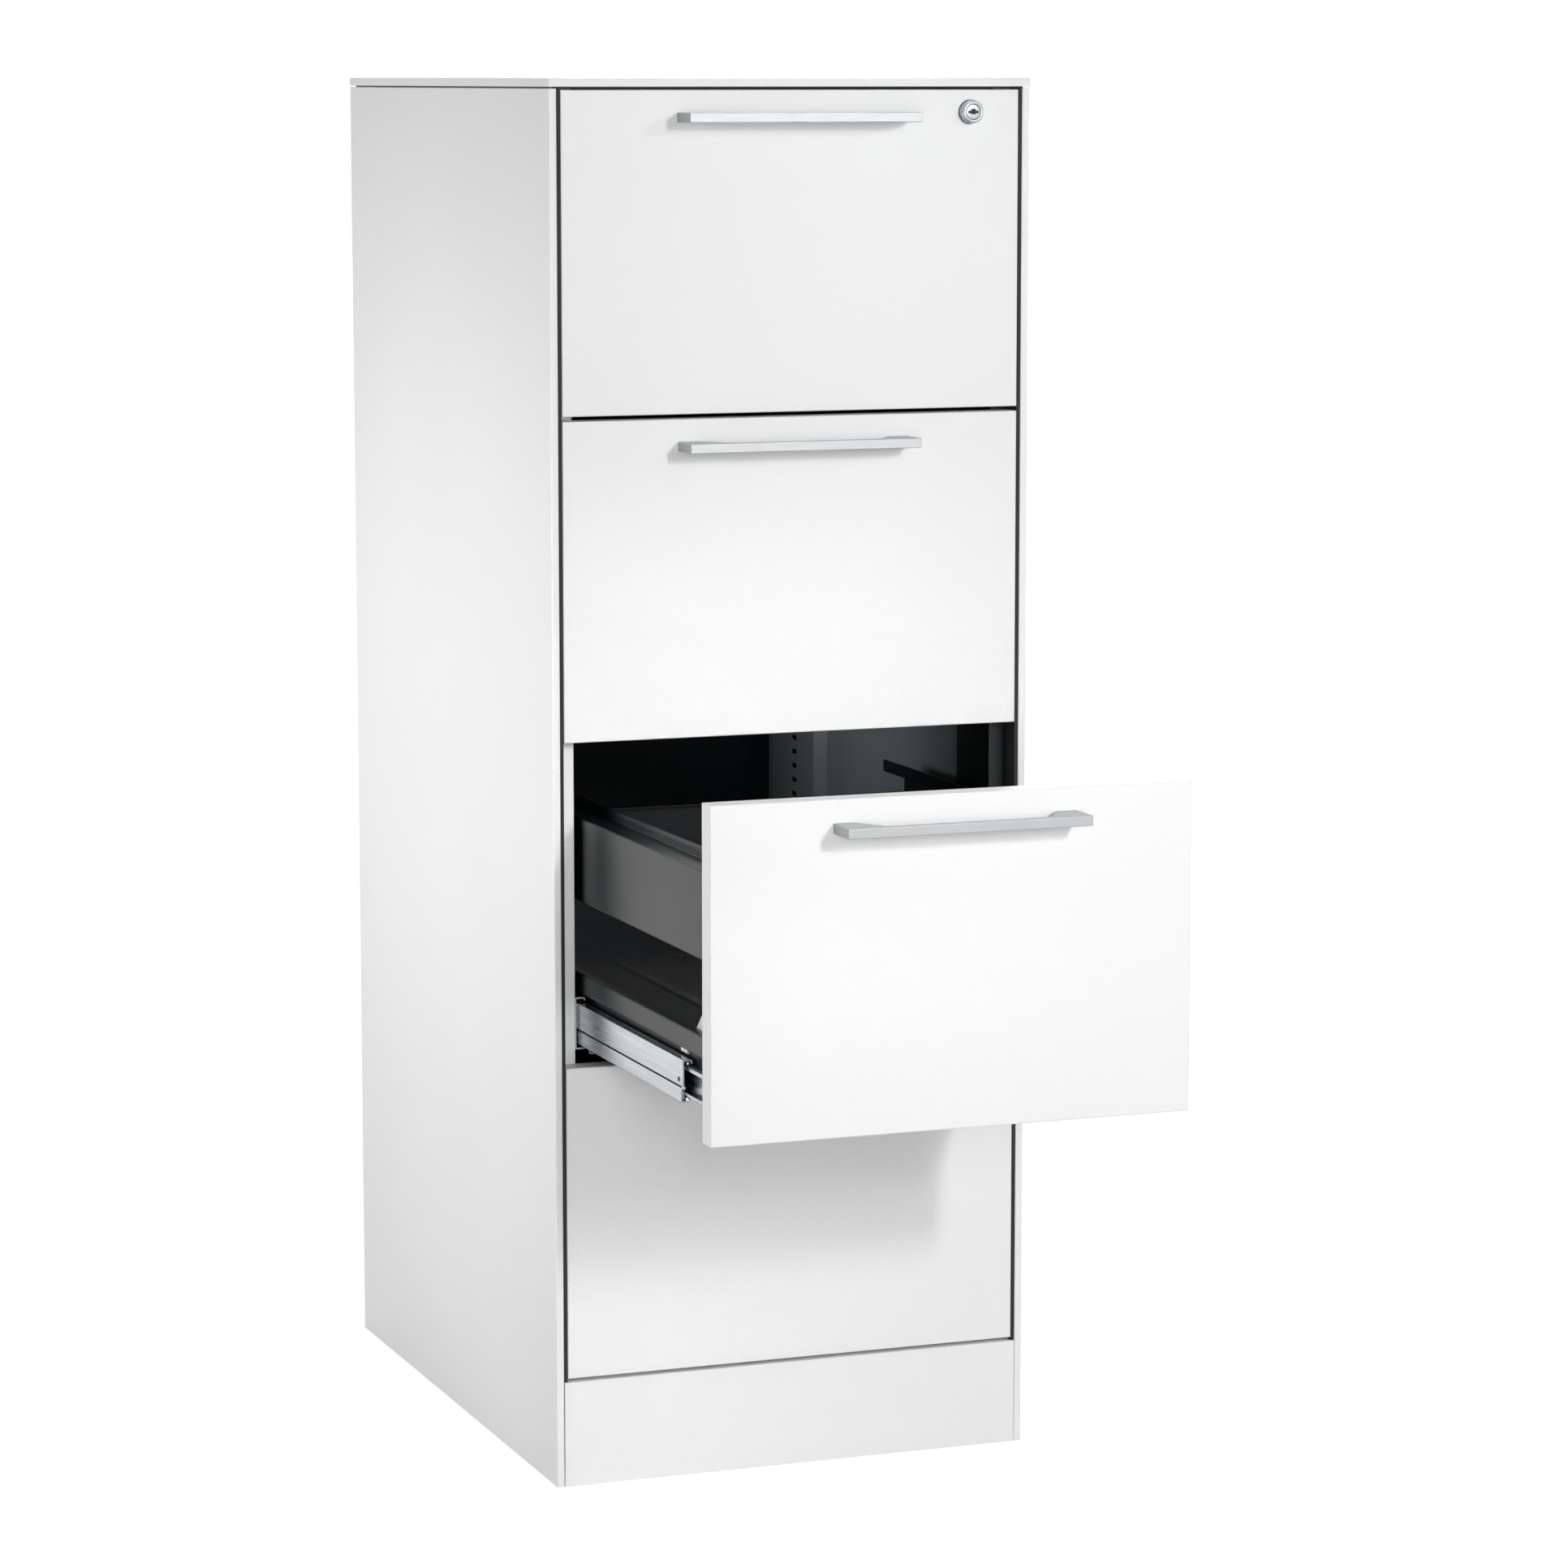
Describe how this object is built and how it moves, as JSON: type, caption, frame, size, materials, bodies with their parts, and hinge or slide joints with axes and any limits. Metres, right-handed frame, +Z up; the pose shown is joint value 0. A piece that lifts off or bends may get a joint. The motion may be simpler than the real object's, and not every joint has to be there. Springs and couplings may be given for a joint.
{
  "type": "filing cabinet",
  "caption": "Tall steel filing cabinet: suspension-file drawers on telescopic slides, bar handles and a central lock; one drawer stands open.",
  "frame": {"origin": "middle of the cabinet's footprint, on the floor", "axes": "+Z up, -Y to the front, the way the drawers open, +X to the right seen from the front"},
  "size_m": [0.433, 0.996, 1.2],
  "materials": {
    "white_powder_coat": "satin powder coat",
    "anthracite_powder_coat": "satin powder coat",
    "zinc_plated_steel": "bright zinc plate",
    "anodised_aluminium": "brushed and anodised",
    "nickel_plated_brass": "nickel plate",
    "black_nylon": "moulded"
  },
  "bodies": {
    "cabinet": {"top_cover": "white_powder_coat", "roof_pan": "anthracite_powder_coat", "side_panel_left": "white_powder_coat", "side_panel_right": "white_powder_coat", "back_panel": "white_powder_coat", "floor_pan": "anthracite_powder_coat", "plinth_front": "white_powder_coat", "front_post_left": "anthracite_powder_coat", "front_post_right": "anthracite_powder_coat", "rear_post_left": "anthracite_powder_coat", "rear_post_right": "anthracite_powder_coat", "side_lining_left": "anthracite_powder_coat", "side_lining_right": "anthracite_powder_coat", "front_crossbar": "anthracite_powder_coat", "levelling_feet": "black_nylon", "lock_housing": "nickel_plated_brass", "lock_bracket": "zinc_plated_steel", "drawer_1_slide_fixed": "zinc_plated_steel", "drawer_2_slide_fixed": "zinc_plated_steel", "drawer_3_slide_fixed": "zinc_plated_steel", "drawer_4_slide_fixed": "zinc_plated_steel"},
    "drawer_1": {"drawer_1_front": "white_powder_coat", "drawer_1_front_back": "white_powder_coat", "drawer_1_handle": "anodised_aluminium", "drawer_1_tray": "anthracite_powder_coat", "drawer_1_file_rails": "anthracite_powder_coat", "drawer_1_back": "anthracite_powder_coat", "drawer_1_lock_catch": "zinc_plated_steel", "drawer_1_slide_inner": "zinc_plated_steel"},
    "middle_rails_1": {"drawer_1_slide_middle": "zinc_plated_steel"},
    "drawer_2": {"drawer_2_front": "white_powder_coat", "drawer_2_front_back": "white_powder_coat", "drawer_2_handle": "anodised_aluminium", "drawer_2_tray": "anthracite_powder_coat", "drawer_2_file_rails": "anthracite_powder_coat", "drawer_2_back": "anthracite_powder_coat", "drawer_2_lock_catch": "zinc_plated_steel", "drawer_2_slide_inner": "zinc_plated_steel"},
    "middle_rails_2": {"drawer_2_slide_middle": "zinc_plated_steel"},
    "drawer_3": {"drawer_3_front": "white_powder_coat", "drawer_3_front_back": "white_powder_coat", "drawer_3_handle": "anodised_aluminium", "drawer_3_tray": "anthracite_powder_coat", "drawer_3_file_rails": "anthracite_powder_coat", "drawer_3_back": "anthracite_powder_coat", "drawer_3_lock_catch": "zinc_plated_steel", "drawer_3_slide_inner": "zinc_plated_steel"},
    "middle_rails_3": {"drawer_3_slide_middle": "zinc_plated_steel"},
    "drawer_4": {"drawer_4_front": "white_powder_coat", "drawer_4_front_back": "white_powder_coat", "drawer_4_handle": "anodised_aluminium", "drawer_4_tray": "anthracite_powder_coat", "drawer_4_file_rails": "anthracite_powder_coat", "drawer_4_back": "anthracite_powder_coat", "drawer_4_lock_catch": "zinc_plated_steel", "drawer_4_slide_inner": "zinc_plated_steel"},
    "middle_rails_4": {"drawer_4_slide_middle": "zinc_plated_steel"},
    "lock_plug": {"lock_plug": "nickel_plated_brass", "lock_cam": "zinc_plated_steel"},
    "locking_bar": {"locking_bar": "zinc_plated_steel"}
  },
  "joints": [
    {"name": "drawer_1_slide", "type": "slide", "parent": "cabinet", "child": "drawer_1", "axis": [0, -1, 0], "range_m": [0, 0.52]},
    {"name": "middle_rails_1_slide", "type": "slide", "parent": "cabinet", "child": "middle_rails_1", "axis": [0, -1, 0], "range_m": [0, 0.4035]},
    {"name": "drawer_2_slide", "type": "slide", "parent": "cabinet", "child": "drawer_2", "axis": [0, -1, 0], "range_m": [0, 0.52]},
    {"name": "middle_rails_2_slide", "type": "slide", "parent": "cabinet", "child": "middle_rails_2", "axis": [0, -1, 0], "range_m": [0, 0.4035]},
    {"name": "drawer_3_slide", "type": "slide", "parent": "cabinet", "child": "drawer_3", "axis": [0, -1, 0], "range_m": [-0.362, 0.158]},
    {"name": "middle_rails_3_slide", "type": "slide", "parent": "cabinet", "child": "middle_rails_3", "axis": [0, -1, 0], "range_m": [-0.2811, 0.123]},
    {"name": "drawer_4_slide", "type": "slide", "parent": "cabinet", "child": "drawer_4", "axis": [0, -1, 0], "range_m": [0, 0.52]},
    {"name": "middle_rails_4_slide", "type": "slide", "parent": "cabinet", "child": "middle_rails_4", "axis": [0, -1, 0], "range_m": [0, 0.4035]},
    {"name": "lock_turn", "type": "hinge", "parent": "cabinet", "child": "lock_plug", "pos_m": [0.161, -0.28, 1.1715], "axis": [0, -1, 0], "range_deg": [0, 90]},
    {"name": "locking_bar_slide", "type": "slide", "parent": "cabinet", "child": "locking_bar", "axis": [0, 0, 1], "range_m": [0, 0.0113]}
  ],
  "couplings": [
    {"joint": "middle_rails_1_slide", "follows": "drawer_1_slide", "ratio": 0.775},
    {"joint": "middle_rails_2_slide", "follows": "drawer_2_slide", "ratio": 0.775},
    {"joint": "middle_rails_3_slide", "follows": "drawer_3_slide", "ratio": 0.775},
    {"joint": "middle_rails_4_slide", "follows": "drawer_4_slide", "ratio": 0.775},
    {"joint": "lock_turn", "follows": "locking_bar_slide", "rad_per_m": 138.84}
  ]
}
